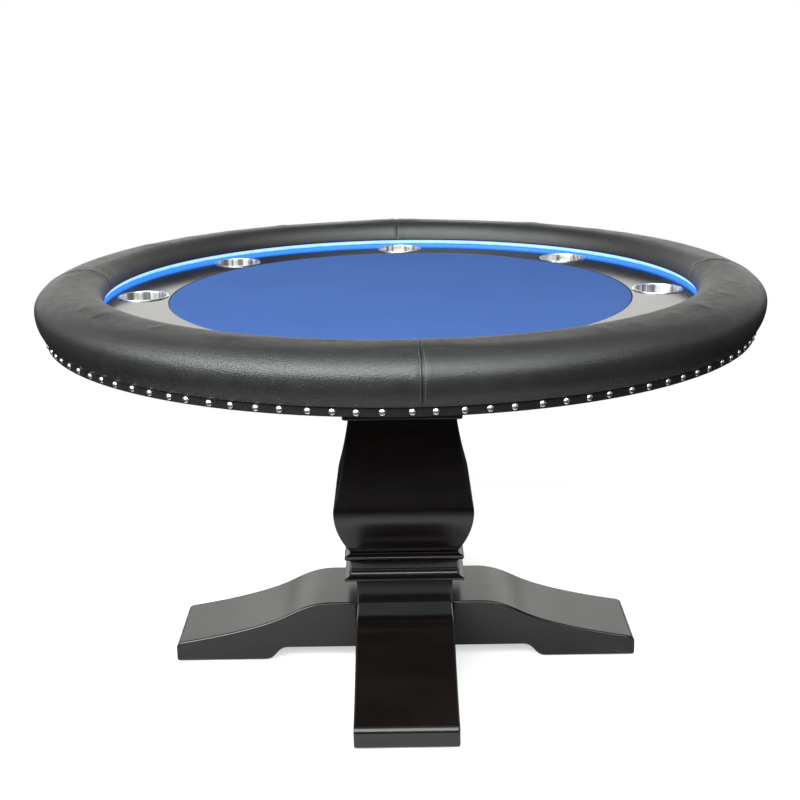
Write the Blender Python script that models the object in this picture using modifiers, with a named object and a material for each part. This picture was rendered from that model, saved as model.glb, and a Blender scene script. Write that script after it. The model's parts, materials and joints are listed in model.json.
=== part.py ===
"""Round poker table: a padded rail over a lacquered racetrack with a lit edge, a lift-out
playing panel and drop-in cup holders, on a square vase pedestal with four ogee feet.

Metres, +Z up. The origin is on the floor under the middle of the table.
"""

import math

import bmesh
import bpy

TABLE_NAME = "poker_table"

# Clearance left between pieces that touch, and the number of sides of round pieces.
GAP = 0.0003
RING_SIDES = 48
CUP_SIDES = 16
BOLT_SIDES = 8
RAIL_STEPS = 5
COUNTS = {"rail_bolts": 4, "ribs": 4, "cups": 8}

# Table top, from the rail inwards.
TABLE_RADIUS = 0.6985
RAIL_WIDEST_Z = 0.7455
RAIL_CREST = (0.612, 0.7878)
RAIL_LIP = (0.570, 0.7498)
RAIL_HEM = (0.6825, 0.6995)
COVER_THICKNESS = 0.002
FRAME_RADIUS = 0.6755
DECK_RADIUS = 0.456
DECK_BOTTOM = 0.6955
DECK_THICKNESS = 0.025
TRACK_THICKNESS = 0.018
TRACK_RADII = (0.450, 0.640)
CORE_INNER_RADIUS = 0.586
CORE_THICKNESS = 0.018
BAND_RADIUS = 0.679
BAND_BOTTOM = 0.6835
EDGE_RING_RADII = (0.553, 0.645)
RIB_ENDS = (0.262, 0.600)
RIB_SIZE = (0.04, 0.028)

# Lift-out playing panel.
PANEL_RADIUS = 0.4487
PANEL_BOARD_THICKNESS = 0.012
PANEL_TOP = 0.7389
CLOTH_THICKNESS = 0.0013

# Lit edge under the rail.
DIFFUSER_RADII = (0.5757, 0.5815)
STRIP_RADII = (0.5818, 0.5857)
LIT_TOP = 0.7494

# Cup holders.
CUP_CIRCLE_RADIUS = 0.5036
CUP_INNER_RADIUS = 0.0445
CUP_WALL = 0.001
CUP_FLANGE_RADIUS = 0.0495
CUP_DEPTH = 0.064
CUP_HOLE_CLEARANCE = 0.0013

# Pedestal, as half-widths of square sections.
HOLLOW_HALF_WIDTH = 0.066
HUB_HALF_WIDTH = 0.096
HUB_BOTTOM = 0.0285
HUB_TOP = 0.180
COLUMN_BOTTOM = 0.2365
COLUMN_TOP = 0.512
COLUMN_END_HALF_WIDTH = 0.1060
COLUMN_BELLY = (0.1376, 0.332)
COLUMN_UPPER_HANDLES = ((0.1180, 0.392), (0.1376, 0.338))
COLUMN_LOWER_HANDLES = ((0.1386, 0.297), (0.1225, 0.262))
COLLAR_NECK_HALF_WIDTH = 0.105
CAP_HALF_WIDTH = 0.1165
CAP_THICKNESS = 0.022
UPPER_BLOCK_HALF_WIDTH = 0.1
TOP_PLATE_HALF_WIDTH = 0.23
TOP_PLATE_THICKNESS = 0.0235

# Feet and glides.
FOOT_TIP = 0.465
FOOT_WIDTH = 0.192
FOOT_SHOULDER = (0.150, 0.125)
FOOT_KNEE = (0.235, 0.101)
FOOT_NOSE_RADIUS = 0.0135
FOOT_NOSE_Z = 0.030
FOOT_ARCH = (0.239, 0.284)
GLIDE_HEIGHT = 0.003
GLIDE_DISTANCE = 0.40
GLIDE_PAD_RADIUS = 0.0175
GLIDE_STEM_RADIUS = 0.004
GLIDE_STEM_TOP = 0.028

# Fasteners.
ROD_RADIUS = 0.006
RAIL_BOLT_CIRCLE = 0.62
BOLT_RADIUS = 0.004
BOLT_HEAD_RADIUS = 0.0075
BOLT_HEAD_THICKNESS = 0.0055
PLATE_BOLT_OFFSET = 0.19
FOOT_BOLT_Z = 0.08
FOOT_BOLT_RADIUS = 0.005
FOOT_BOLT_TIP = 0.150
NUT_RADIUS = 0.0105
NUT_HEIGHT = 0.010

# Lighting control box, under the deck at the back.
BOX_CENTRE_Y = 0.597
BOX_SIZE = (0.100, 0.070, 0.035)
BOX_WALL = 0.002
BUTTON_X = 0.02
BUTTON_RADIUS = 0.006
INLET_Z = 0.678
LEAD_RADIUS = 0.0018

# Heights that follow from the stack of boards.
DECK_TOP = DECK_BOTTOM + DECK_THICKNESS
TRACK_BOTTOM = DECK_TOP + GAP
TRACK_TOP = TRACK_BOTTOM + TRACK_THICKNESS
CORE_BOTTOM = TRACK_TOP + GAP
CORE_TOP = CORE_BOTTOM + CORE_THICKNESS
TOP_PLATE_BOTTOM = DECK_BOTTOM - GAP - TOP_PLATE_THICKNESS

# Colour, metallic value and roughness of each material.
FINISHES = {
    "leather": ((0.022, 0.021, 0.021), 0.0, 0.45),
    "black_vinyl": ((0.016, 0.015, 0.014), 0.0, 0.5),
    "black_lacquer": ((0.008, 0.007, 0.007), 0.0, 0.12),
    "blue_cloth": ((0.09, 0.19, 0.52), 0.0, 0.95),
    "foam": ((0.62, 0.60, 0.55), 0.0, 0.95),
    "plywood": ((0.48, 0.34, 0.20), 0.0, 0.7),
    "light_diffuser": ((0.35, 0.75, 1.0), 0.0, 0.4),
    "light_strip": ((0.75, 0.75, 0.72), 0.0, 0.5),
    "cup_steel": ((0.62, 0.62, 0.62), 1.0, 0.22),
    "zinc_steel": ((0.50, 0.50, 0.52), 1.0, 0.4),
    "black_plastic": ((0.02, 0.02, 0.02), 0.0, 0.5),
    "glide_nylon": ((0.05, 0.05, 0.05), 0.0, 0.6),
}


def clear_scene():
    for old in list(bpy.data.objects):
        bpy.data.objects.remove(old, do_unlink=True)


def new_collection(name):
    collection = bpy.data.collections.new(name)
    bpy.context.scene.collection.children.link(collection)
    return collection


clear_scene()
PARTS = new_collection(TABLE_NAME)
CUTTERS = new_collection("cutters")


# ---------------------------------------------------------------- materials and objects


def material_for(node, finish):
    """A material of the node's own, with the colour and gloss of a named finish."""
    colour, metallic, roughness = FINISHES[finish]
    material = bpy.data.materials.new(node)
    material.use_nodes = True
    shader = material.node_tree.nodes["Principled BSDF"]
    shader.inputs["Base Color"].default_value = (*colour, 1.0)
    shader.inputs["Metallic"].default_value = metallic
    shader.inputs["Roughness"].default_value = roughness
    material.diffuse_color = (*colour, 1.0)
    return material


def place(name, mesh, finish, location=(0, 0, 0), turn=0.0, tilt=0.0):
    """Links a mesh as a part; tilt is about X and turn is about Z, in radians."""
    part = bpy.data.objects.new(name, mesh)
    part.location = location
    part.rotation_euler = (tilt, 0.0, turn)
    if finish:
        mesh.materials.append(material_for(name, finish))
        PARTS.objects.link(part)
    else:
        CUTTERS.objects.link(part)
        part.hide_render = True
        part.display_type = "WIRE"
    return part


def bevel(part, width, segments=1, angle=math.radians(50)):
    modifier = part.modifiers.new("rounded_edges", "BEVEL")
    modifier.width = width
    modifier.segments = segments
    modifier.limit_method = "ANGLE"
    modifier.angle_limit = angle


def cut(part, *cutters):
    for cutter in cutters:
        modifier = part.modifiers.new("cut_" + cutter.name, "BOOLEAN")
        modifier.operation = "DIFFERENCE"
        modifier.solver = "EXACT"
        modifier.object = cutter


# ---------------------------------------------------------------- outlines


def bezier(start, handle_a, handle_b, end, steps):
    """Points of a cubic curve, the start left out and the end kept."""
    points = []
    for i in range(1, steps + 1):
        t = i / steps
        weights = ((1 - t) ** 3, 3 * t * (1 - t) ** 2, 3 * t * t * (1 - t), t**3)
        corners = (start, handle_a, handle_b, end)
        points.append(tuple(sum(w * c[k] for w, c in zip(weights, corners)) for k in (0, 1)))
    return points


def arc(centre, radii, start_deg, end_deg, steps):
    """Points of an elliptic arc, both ends kept."""
    points = []
    for i in range(steps + 1):
        angle = math.radians(start_deg + (end_deg - start_deg) * i / steps)
        points.append(
            (centre[0] + radii[0] * math.cos(angle), centre[1] + radii[1] * math.sin(angle))
        )
    return points


def ring_outline(inner, outer, bottom, top):
    """A rectangular section that runs down its outer side."""
    return [(inner, top), (outer, top), (outer, bottom), (inner, bottom)]


# ---------------------------------------------------------------- solids


def turned(name, outline, finish, sides, closed=True, location=(0, 0, 0), turn=0.0, tilt=0.0):
    """A profile of (radius, height) points, turned about the local Z axis."""
    mesh = bpy.data.meshes.new(name)
    edges = [(i, i + 1) for i in range(len(outline) - 1)]
    if closed:
        edges.append((len(outline) - 1, 0))
    mesh.from_pydata([(r, 0.0, z) for r, z in outline], edges, [])
    part = place(name, mesh, finish, location, turn, tilt)
    screw = part.modifiers.new("turned", "SCREW")
    screw.axis = "Z"
    screw.angle = math.tau
    screw.steps = sides
    screw.render_steps = sides
    screw.use_merge_vertices = True
    screw.merge_threshold = 0.00002
    screw.use_smooth_shade = sides > 4
    return part


def square_turned(name, outline, finish):
    """A four-sided section whose outline gives half-widths, with its sides along X and Y."""
    corners = [(half_width * math.sqrt(2), z) for half_width, z in outline]
    return turned(name, corners, finish, 4, turn=math.radians(45))


def block(name, size, centre, finish, turn=0.0):
    mesh = bpy.data.meshes.new(name)
    shape = bmesh.new()
    bmesh.ops.create_cube(shape, size=1.0)
    bmesh.ops.scale(shape, vec=size, verts=shape.verts)
    shape.to_mesh(mesh)
    shape.free()
    return place(name, mesh, finish, centre, turn)


def rod(name, radius, bottom, top, finish, sides=BOLT_SIDES, at=(0.0, 0.0)):
    """An upright cylinder; with no finish it is a cutter."""
    mesh = bpy.data.meshes.new(name)
    shape = bmesh.new()
    bmesh.ops.create_cone(
        shape,
        cap_ends=True,
        segments=sides,
        radius1=radius,
        radius2=radius,
        depth=top - bottom,
    )
    shape.to_mesh(mesh)
    shape.free()
    return place(name, mesh, finish, (at[0], at[1], (top + bottom) / 2))


def sawn_board(name, outline, thickness, finish, turn):
    """A flat outline in the local XZ plane, given thickness along the local Y axis."""
    curve = bpy.data.curves.new(name + "_outline", "CURVE")
    curve.dimensions = "2D"
    curve.fill_mode = "BOTH"
    curve.extrude = thickness / 2
    spline = curve.splines.new("POLY")
    spline.points.add(len(outline) - 1)
    for point, (x, z) in zip(spline.points, outline):
        point.co = (x, z, 0.0, 1.0)
    spline.use_cyclic_u = True
    guide = bpy.data.objects.new(name + "_outline", curve)
    CUTTERS.objects.link(guide)
    bpy.context.view_layer.update()
    evaluated = guide.evaluated_get(bpy.context.evaluated_depsgraph_get())
    mesh = bpy.data.meshes.new_from_object(evaluated)
    bpy.data.objects.remove(guide, do_unlink=True)
    shape = bmesh.new()
    shape.from_mesh(mesh)
    bmesh.ops.remove_doubles(shape, verts=shape.verts, dist=0.00001)
    bmesh.ops.recalc_face_normals(shape, faces=shape.faces)
    shape.to_mesh(mesh)
    shape.free()
    mesh.materials.clear()
    return place(name, mesh, finish, turn=turn, tilt=math.radians(90))


def bolt(name, head_z, tip_z, at=(0.0, 0.0), radius=BOLT_RADIUS):
    """A flat-headed bolt, its head below at head_z and its shank going up to tip_z."""
    outline = [
        (0.0, tip_z),
        (radius - 0.001, tip_z),
        (radius, tip_z - 0.001),
        (radius, head_z + BOLT_HEAD_THICKNESS),
        (BOLT_HEAD_RADIUS, head_z + BOLT_HEAD_THICKNESS),
        (BOLT_HEAD_RADIUS, head_z),
        (0.0, head_z),
    ]
    return turned(name, outline, "zinc_steel", BOLT_SIDES, closed=False, location=(*at, 0.0))


def polar(radius, degrees):
    return radius * math.cos(math.radians(degrees)), radius * math.sin(math.radians(degrees))


# ---------------------------------------------------------------- shared cutters

CUP_ANGLES = [360 / COUNTS["cups"] * i for i in range(COUNTS["cups"])]
RAIL_BOLT_ANGLES = [67.5 + 360 / COUNTS["rail_bolts"] * i for i in range(COUNTS["rail_bolts"])]
RIB_ANGLES = [22.5 + 360 / COUNTS["ribs"] * i for i in range(COUNTS["ribs"])]
PLATE_BOLT_PLACES = [
    (x * PLATE_BOLT_OFFSET, y * PLATE_BOLT_OFFSET)
    for x, y in ((1, 1), (-1, 1), (-1, -1), (1, -1))
]
RAIL_BOLT_TIP = CORE_BOTTOM + 0.011
PLATE_BOLT_TIP = DECK_BOTTOM + 0.018
LEAD_PLACE = (0.0, sum(STRIP_RADII) / 2)


def cutters_for(name, places, radius, bottom, top, sides=BOLT_SIDES):
    return [
        rod(f"{name}_{i + 1}", radius, bottom, top, None, sides, at)
        for i, at in enumerate(places)
    ]


CUP_HOLES = cutters_for(
    "cup_hole",
    [polar(CUP_CIRCLE_RADIUS, a) for a in CUP_ANGLES],
    CUP_INNER_RADIUS + CUP_WALL + CUP_HOLE_CLEARANCE,
    DECK_BOTTOM - 0.01,
    TRACK_TOP + 0.01,
    CUP_SIDES,
)
RAIL_BOLT_HOLES = cutters_for(
    "rail_bolt_hole",
    [polar(RAIL_BOLT_CIRCLE, a) for a in RAIL_BOLT_ANGLES],
    BOLT_RADIUS + 2 * GAP,
    DECK_BOTTOM - 0.01,
    RAIL_BOLT_TIP + 0.001,
)
PLATE_BOLT_HOLES = cutters_for(
    "plate_bolt_hole",
    PLATE_BOLT_PLACES,
    BOLT_RADIUS + 2 * GAP,
    TOP_PLATE_BOTTOM - 0.01,
    PLATE_BOLT_TIP + 0.001,
)
LEAD_HOLES = cutters_for(
    "lead_hole", [LEAD_PLACE], LEAD_RADIUS + 2 * GAP, DECK_BOTTOM - 0.01, TRACK_TOP + 0.01
)
ROD_HOLES = cutters_for("rod_hole", [(0, 0)], ROD_RADIUS + 2 * GAP, 0.0, DECK_BOTTOM)
ROD_ACCESS = cutters_for("rod_access", [(0, 0)], 0.022, DECK_BOTTOM - 0.01, DECK_TOP + 0.01, 16)


# ---------------------------------------------------------------- table top


def rail_surface(inset, steps):
    """The rail's outside from lip over crest to hem, moved inwards by inset."""
    crest_r, crest_z = RAIL_CREST
    lip_r, lip_z = RAIL_LIP
    hem_r, hem_z = RAIL_HEM
    inner = arc((crest_r, lip_z), (crest_r - lip_r - inset, crest_z - lip_z - inset), 180, 90, steps)
    outer = arc(
        (crest_r, RAIL_WIDEST_Z),
        (TABLE_RADIUS - crest_r - inset, crest_z - RAIL_WIDEST_Z - inset),
        90,
        0,
        steps,
    )
    side = bezier(
        (TABLE_RADIUS - inset, RAIL_WIDEST_Z),
        (TABLE_RADIUS - inset, RAIL_WIDEST_Z - 0.022),
        (hem_r - inset + 0.006, hem_z + 0.012),
        (hem_r - inset, hem_z),
        steps - 2,
    )
    return inner + outer[1:] + side


def make_rail():
    """The sewn cover, the foam it holds and the plywood ring they are pulled over."""
    cover = rail_surface(0.0, RAIL_STEPS) + rail_surface(COVER_THICKNESS, RAIL_STEPS)[::-1]
    turned("rail_cover", cover, "leather", RING_SIDES)
    skin = COVER_THICKNESS + GAP
    core_skirt = FRAME_RADIUS + GAP
    foam = rail_surface(skin, RAIL_STEPS)
    foam += [
        (core_skirt, RAIL_HEM[1]),
        (core_skirt, CORE_TOP + GAP),
        (CORE_INNER_RADIUS - GAP, CORE_TOP + GAP),
        (CORE_INNER_RADIUS - GAP, RAIL_LIP[1]),
    ]
    turned("rail_foam", foam, "foam", RING_SIDES)
    core = ring_outline(CORE_INNER_RADIUS, FRAME_RADIUS, CORE_BOTTOM, CORE_TOP)
    cut(turned("rail_core", core, "plywood", RING_SIDES), *RAIL_BOLT_HOLES)
    band = ring_outline(FRAME_RADIUS + GAP, BAND_RADIUS, BAND_BOTTOM, RAIL_HEM[1] - GAP)
    turned("trim_band", band, "black_vinyl", RING_SIDES)


def make_deck():
    """The deck, the rebated ring that carries racetrack and rail, and the ribs between them."""
    disc = [(0.0, DECK_TOP), (DECK_RADIUS, DECK_TOP), (DECK_RADIUS, DECK_BOTTOM), (0.0, DECK_BOTTOM)]
    deck = turned("table_deck", disc, "plywood", RING_SIDES, closed=False)
    cut(deck, *PLATE_BOLT_HOLES, *ROD_ACCESS)
    inner_radius, step_radius = EDGE_RING_RADII
    rebate_radius = TRACK_RADII[1] + GAP
    rebated = [
        (inner_radius, DECK_TOP),
        (rebate_radius, DECK_TOP),
        (rebate_radius, TRACK_TOP),
        (FRAME_RADIUS, TRACK_TOP),
        (FRAME_RADIUS, BAND_BOTTOM),
        (step_radius, BAND_BOTTOM),
        (step_radius, DECK_BOTTOM),
        (inner_radius, DECK_BOTTOM),
    ]
    edge_ring = turned("deck_edge_ring", rebated, "plywood", RING_SIDES)
    cut(edge_ring, *RAIL_BOLT_HOLES, *LEAD_HOLES)
    rib_start, rib_end = RIB_ENDS
    rib_width, rib_depth = RIB_SIZE
    for i, angle in enumerate(RIB_ANGLES):
        x, y = polar((rib_start + rib_end) / 2, angle)
        centre = (x, y, DECK_BOTTOM - GAP - rib_depth / 2)
        size = (rib_end - rib_start, rib_width, rib_depth)
        block(f"deck_rib_{i + 1}", size, centre, "plywood", math.radians(angle))


def make_racetrack():
    outline = ring_outline(*TRACK_RADII, TRACK_BOTTOM, TRACK_TOP)
    track = turned("racetrack", outline, "black_lacquer", RING_SIDES)
    cut(track, *CUP_HOLES, *RAIL_BOLT_HOLES, *LEAD_HOLES)


def make_playing_panel():
    """A board and a foam sheet inside a stretched cloth; all three lift out together."""
    inner_radius = PANEL_RADIUS - CLOTH_THICKNESS
    board_top = TRACK_BOTTOM + PANEL_BOARD_THICKNESS
    foam_top = PANEL_TOP - CLOTH_THICKNESS - GAP
    rod("playing_board", inner_radius - GAP, TRACK_BOTTOM, board_top, "plywood", RING_SIDES)
    rod("playing_foam", inner_radius - GAP, board_top + GAP, foam_top, "foam", RING_SIDES)
    cloth = [
        (0.0, PANEL_TOP),
        (PANEL_RADIUS - 0.001, PANEL_TOP),
        (PANEL_RADIUS, PANEL_TOP - 0.001),
        (PANEL_RADIUS, TRACK_BOTTOM + GAP),
        (inner_radius, TRACK_BOTTOM + GAP),
        (inner_radius, PANEL_TOP - CLOTH_THICKNESS),
        (0.0, PANEL_TOP - CLOTH_THICKNESS),
    ]
    turned("playing_cloth", cloth, "blue_cloth", RING_SIDES, closed=False)


def make_lit_edge():
    diffuser = ring_outline(*DIFFUSER_RADII, CORE_BOTTOM, LIT_TOP)
    turned("led_diffuser", diffuser, "light_diffuser", RING_SIDES)
    strip = ring_outline(*STRIP_RADII, CORE_BOTTOM, LIT_TOP)
    turned("led_strip", strip, "light_strip", RING_SIDES)


def make_cups():
    """Drop-in cups; each is modelled about its own axis, with its flange's underside at z = 0."""
    outer = CUP_INNER_RADIUS + CUP_WALL
    floor = -CUP_DEPTH
    flange_top = 0.0012
    outline = [
        (0.0, floor + CUP_WALL),
        (CUP_INNER_RADIUS - 0.004, floor + CUP_WALL),
        (CUP_INNER_RADIUS, floor + CUP_WALL + 0.004),
        (CUP_INNER_RADIUS, flange_top),
        (CUP_FLANGE_RADIUS, flange_top),
        (CUP_FLANGE_RADIUS, 0.0),
        (outer, 0.0),
        (outer, floor + 0.004),
        (outer - 0.004, floor),
        (0.0, floor),
    ]
    for i, angle in enumerate(CUP_ANGLES):
        at = (*polar(CUP_CIRCLE_RADIUS, angle), TRACK_TOP + GAP)
        turned(f"cup_holder_{i + 1}", outline, "cup_steel", CUP_SIDES, False, at)


# ---------------------------------------------------------------- pedestal


def make_column():
    """A hollow square vase: a belly low down, drawn in towards both ends."""
    top = (COLUMN_END_HALF_WIDTH, COLUMN_TOP)
    bottom = (COLUMN_END_HALF_WIDTH, COLUMN_BOTTOM)
    upper = bezier(top, *COLUMN_UPPER_HANDLES, COLUMN_BELLY, 7)
    lower = bezier(COLUMN_BELLY, *COLUMN_LOWER_HANDLES, bottom, 6)
    outline = [(HOLLOW_HALF_WIDTH, COLUMN_TOP), top] + upper + lower
    outline.append((HOLLOW_HALF_WIDTH, COLUMN_BOTTOM))
    bevel(square_turned("column_shell", outline, "black_lacquer"), 0.003)


def make_mouldings():
    """The collar between hub and column, and the square cap on the column."""
    neck = COLLAR_NECK_HALF_WIDTH
    cove = arc((0.1175, 0.1985), (0.0125, 0.0125), 270, 180, 4)
    flare = arc((0.118, 0.2115), (0.013, 0.0125), 180, 90, 4)
    outline = [(HOLLOW_HALF_WIDTH, COLUMN_BOTTOM - GAP), (0.1065, COLUMN_BOTTOM - GAP)]
    outline += [(0.1115, 0.2335), (0.1165, 0.2305), (0.118, 0.2275)]
    outline += flare[::-1]
    outline += [(neck, 0.2115), (neck, 0.2025), (0.107, 0.2010), (0.107, 0.1995)]
    outline += cove[::-1]
    outline += [(0.119, 0.1855), (0.119, HUB_TOP + GAP), (HOLLOW_HALF_WIDTH, HUB_TOP + GAP)]
    square_turned("collar_moulding", outline, "black_lacquer")

    cap_bottom = COLUMN_TOP + GAP
    cap_centre = (0, 0, cap_bottom + CAP_THICKNESS / 2)
    cap_size = (2 * CAP_HALF_WIDTH, 2 * CAP_HALF_WIDTH, CAP_THICKNESS)
    cap = block("column_cap", cap_size, cap_centre, "black_lacquer")
    bevel(cap, 0.004)
    cut(cap, *ROD_HOLES)


def make_upper_block():
    """The hollow block and wide plate that carry the deck."""
    bottom = COLUMN_TOP + CAP_THICKNESS + 2 * GAP
    outline = ring_outline(
        HOLLOW_HALF_WIDTH, UPPER_BLOCK_HALF_WIDTH, bottom, TOP_PLATE_BOTTOM - GAP
    )
    square_turned("upper_block", outline, "black_lacquer")
    plate_size = (2 * TOP_PLATE_HALF_WIDTH, 2 * TOP_PLATE_HALF_WIDTH, TOP_PLATE_THICKNESS)
    plate_centre = (0, 0, TOP_PLATE_BOTTOM + TOP_PLATE_THICKNESS / 2)
    plate = block("top_plate", plate_size, plate_centre, "black_lacquer")
    bevel(plate, 0.003)
    cut(plate, *PLATE_BOLT_HOLES, *ROD_HOLES)


def foot_outline():
    """One foot seen from its side: an ogee back, a round nose and a raised arch by the hub."""
    inner_end = HUB_HALF_WIDTH + GAP
    sole = GLIDE_HEIGHT
    shoulder_z = FOOT_SHOULDER[1]
    nose_centre = (FOOT_TIP - FOOT_NOSE_RADIUS, FOOT_NOSE_Z)
    nose = arc(nose_centre, (FOOT_NOSE_RADIUS, FOOT_NOSE_RADIUS), 75, 0, 4)
    crown = [(inner_end, shoulder_z), FOOT_SHOULDER]
    roll = bezier(FOOT_SHOULDER, (0.180, shoulder_z), (0.205, 0.1165), FOOT_KNEE, 5)
    sweep = bezier(FOOT_KNEE, (0.285, 0.0752), (0.375, 0.056), nose[0], 8)
    toe = [(FOOT_TIP, sole + 0.003), (FOOT_TIP - 0.003, sole)]
    arch_top, arch_end = FOOT_ARCH
    arch_middle = 0.262
    arch_start = (arch_end, sole)
    rise = bezier(
        arch_start, (arch_middle, sole), (arch_middle, HUB_BOTTOM), (arch_top, HUB_BOTTOM), 5
    )
    heel = [arch_start] + rise + [(inner_end, HUB_BOTTOM)]
    return crown + roll + sweep + nose[1:] + toe + heel


def make_feet():
    """Four feet about a hollow hub, each with its bolt and its levelling glide."""
    hub = ring_outline(HOLLOW_HALF_WIDTH, HUB_HALF_WIDTH, HUB_BOTTOM, HUB_TOP)
    hub_block = square_turned("hub_block", hub, "black_lacquer")
    outline = foot_outline()
    for side, degrees in (("right", 0), ("back", 90), ("left", 180), ("front", 270)):
        turn = math.radians(degrees)
        foot = sawn_board(f"foot_{side}", outline, FOOT_WIDTH, "black_lacquer", turn)
        bevel(foot, 0.0035)

        stem_hole = rod(
            f"glide_hole_{side}",
            GLIDE_STEM_RADIUS + 2 * GAP,
            0.0,
            GLIDE_STEM_TOP + 0.002,
            None,
            at=polar(GLIDE_DISTANCE, degrees),
        )
        hole_length = FOOT_BOLT_TIP + 0.006 - 0.06
        hole_middle = FOOT_BOLT_TIP + 0.006 - hole_length / 2
        bolt_hole = rod(
            f"foot_bolt_hole_{side}", FOOT_BOLT_RADIUS + 2 * GAP, 0.0, hole_length, None
        )
        bolt_hole.location = (*polar(hole_middle, degrees), FOOT_BOLT_Z)
        bolt_hole.rotation_euler = (0.0, math.radians(90), turn)
        cut(foot, stem_hole, bolt_hole)
        cut(hub_block, bolt_hole)

        head = HOLLOW_HALF_WIDTH - GAP - BOLT_HEAD_THICKNESS
        foot_bolt = bolt(f"foot_bolt_{side}", head, FOOT_BOLT_TIP, radius=FOOT_BOLT_RADIUS)
        foot_bolt.location = (0, 0, FOOT_BOLT_Z)
        foot_bolt.rotation_euler = (0.0, math.radians(90), turn)

        glide = [
            (0.0, GLIDE_STEM_TOP),
            (GLIDE_STEM_RADIUS, GLIDE_STEM_TOP),
            (GLIDE_STEM_RADIUS, GLIDE_HEIGHT - GAP),
            (GLIDE_PAD_RADIUS - 0.001, GLIDE_HEIGHT - GAP),
            (GLIDE_PAD_RADIUS, GLIDE_HEIGHT - GAP - 0.001),
            (GLIDE_PAD_RADIUS - 0.0005, 0.0),
            (0.0, 0.0),
        ]
        at = (*polar(GLIDE_DISTANCE, degrees), 0.0)
        turned(f"glide_{side}", glide, "glide_nylon", BOLT_SIDES, False, at)


def make_tie_rod():
    """The rod that draws the pedestal together, with its plate, washer and nuts."""
    plate_thickness = 0.005
    plate_top = HUB_BOTTOM - GAP
    plate_centre = (0, 0, plate_top - plate_thickness / 2)
    plate = block("hub_plate", (0.170, 0.170, plate_thickness), plate_centre, "zinc_steel")
    cut(plate, *ROD_HOLES)

    nut_bottom_z = plate_top - plate_thickness - GAP - NUT_HEIGHT
    washer_z = DECK_BOTTOM
    washer_thickness = 0.002
    nut_top_z = washer_z + washer_thickness + GAP
    bore = ROD_RADIUS + GAP
    rod("tie_rod", ROD_RADIUS, nut_bottom_z - 0.002, nut_top_z + NUT_HEIGHT + 0.001, "zinc_steel")
    washer = ring_outline(bore, 0.015, washer_z, washer_z + washer_thickness)
    turned("rod_washer", washer, "zinc_steel", BOLT_SIDES)
    for name, bottom in (("rod_nut_lower", nut_bottom_z), ("rod_nut_upper", nut_top_z)):
        nut = rod(name, NUT_RADIUS, bottom, bottom + NUT_HEIGHT, "zinc_steel", 6)
        cut(nut, rod(name + "_bore", bore, bottom - 0.01, bottom + NUT_HEIGHT + 0.01, None))


def make_bolts():
    head = DECK_BOTTOM - GAP - BOLT_HEAD_THICKNESS
    for i, angle in enumerate(RAIL_BOLT_ANGLES):
        bolt(f"rail_bolt_{i + 1}", head, RAIL_BOLT_TIP, polar(RAIL_BOLT_CIRCLE, angle))
    head = TOP_PLATE_BOTTOM - GAP - BOLT_HEAD_THICKNESS
    for i, at in enumerate(PLATE_BOLT_PLACES):
        bolt(f"plate_bolt_{i + 1}", head, PLATE_BOLT_TIP, at)


# ---------------------------------------------------------------- lighting control box


def make_control_box():
    """A tray under the deck with a lid, a push button, a supply inlet and the lead to the strip."""
    width, depth, height = BOX_SIZE
    top = DECK_BOTTOM - GAP
    bottom = top - height
    centre = (0.0, BOX_CENTRE_Y, (top + bottom) / 2)
    case = block("control_case", BOX_SIZE, centre, "black_plastic")
    pocket_size = (width - 2 * BOX_WALL, depth - 2 * BOX_WALL, height)
    pocket_centre = (0.0, BOX_CENTRE_Y, centre[2] - BOX_WALL)
    pocket = block("control_pocket", pocket_size, pocket_centre, None)
    inlet_hole = rod("inlet_hole", 0.005 + GAP, 0.0, 0.01, None)
    inlet_hole.location = (width / 2, BOX_CENTRE_Y, INLET_Z)
    inlet_hole.rotation_euler = (0.0, math.radians(90), 0.0)
    cut(case, pocket, inlet_hole, *LEAD_HOLES)

    lid_thickness = 0.0025
    lid_top = bottom - GAP
    lid_centre = (0.0, BOX_CENTRE_Y, lid_top - lid_thickness / 2)
    lid = block("control_lid", (width, depth, lid_thickness), lid_centre, "black_plastic")
    button_at = (BUTTON_X, BOX_CENTRE_Y)
    bore = BUTTON_RADIUS + GAP
    cut(lid, rod("button_hole", bore, lid_top - 0.01, lid_top + 0.01, None, at=button_at))

    button = [
        (0.0, 0.006),
        (0.0075, 0.006),
        (0.0075, lid_thickness + 2 * GAP),
        (BUTTON_RADIUS, lid_thickness + 2 * GAP),
        (BUTTON_RADIUS, -0.0015),
        (BUTTON_RADIUS - 0.001, -0.0025),
        (0.0, -0.0025),
    ]
    at = (*button_at, lid_top - lid_thickness)
    turned("light_button", button, "black_plastic", BOLT_SIDES, False, at)

    inlet = [
        (0.0, -0.008),
        (0.0028, -0.008),
        (0.0028, 0.0015),
        (0.0065, 0.0015),
        (0.0065, GAP),
        (0.005, GAP),
        (0.005, -0.012),
        (0.0, -0.012),
    ]
    supply_inlet = turned("supply_inlet", inlet, "black_plastic", BOLT_SIDES, False)
    supply_inlet.location = (width / 2, BOX_CENTRE_Y, INLET_Z)
    supply_inlet.rotation_euler = (0.0, math.radians(90), 0.0)

    rod("led_lead", LEAD_RADIUS, top - 0.008, TRACK_TOP, "black_plastic", 8, LEAD_PLACE)


make_rail()
make_deck()
make_racetrack()
make_playing_panel()
make_lit_edge()
make_cups()
make_column()
make_mouldings()
make_upper_block()
make_feet()
make_tie_rod()
make_bolts()
make_control_box()
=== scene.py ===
"""Looks for the round poker table: fine surfaces, materials, light and camera."""
import json
import math
import random

import bmesh
import bpy
import numpy as np
from mathutils import Matrix, Vector


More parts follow.
